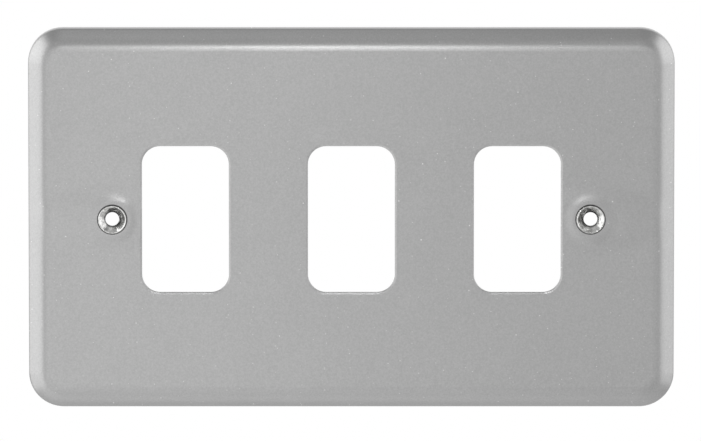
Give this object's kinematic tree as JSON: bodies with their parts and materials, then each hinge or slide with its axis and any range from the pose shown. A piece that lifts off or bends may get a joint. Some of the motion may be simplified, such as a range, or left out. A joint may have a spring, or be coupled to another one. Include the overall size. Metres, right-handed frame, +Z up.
{
  "type": "grid switch plate",
  "caption": "Pressed metal front plate for grid switch modules, with a bevelled rim, rounded module apertures in a row and a plated countersunk screw eyelet at each end.",
  "frame": {"origin": "middle of the plate's rim, on the wall plane that the rim rests against", "axes": "+Z up as on the wall, +X to the right seen from the front, +Y into the wall, so the front face looks towards -Y"},
  "size_m": [0.163, 0.0064, 0.0964],
  "materials": {
    "plate_paint": "satin silver-grey metallic paint with a fine grain",
    "eyelet_plating": "bright nickel-like plating"
  },
  "bodies": {
    "root": {"front_plate": "plate_paint", "left_screw_eyelet": "eyelet_plating", "right_screw_eyelet": "eyelet_plating"}
  },
  "joints": []
}
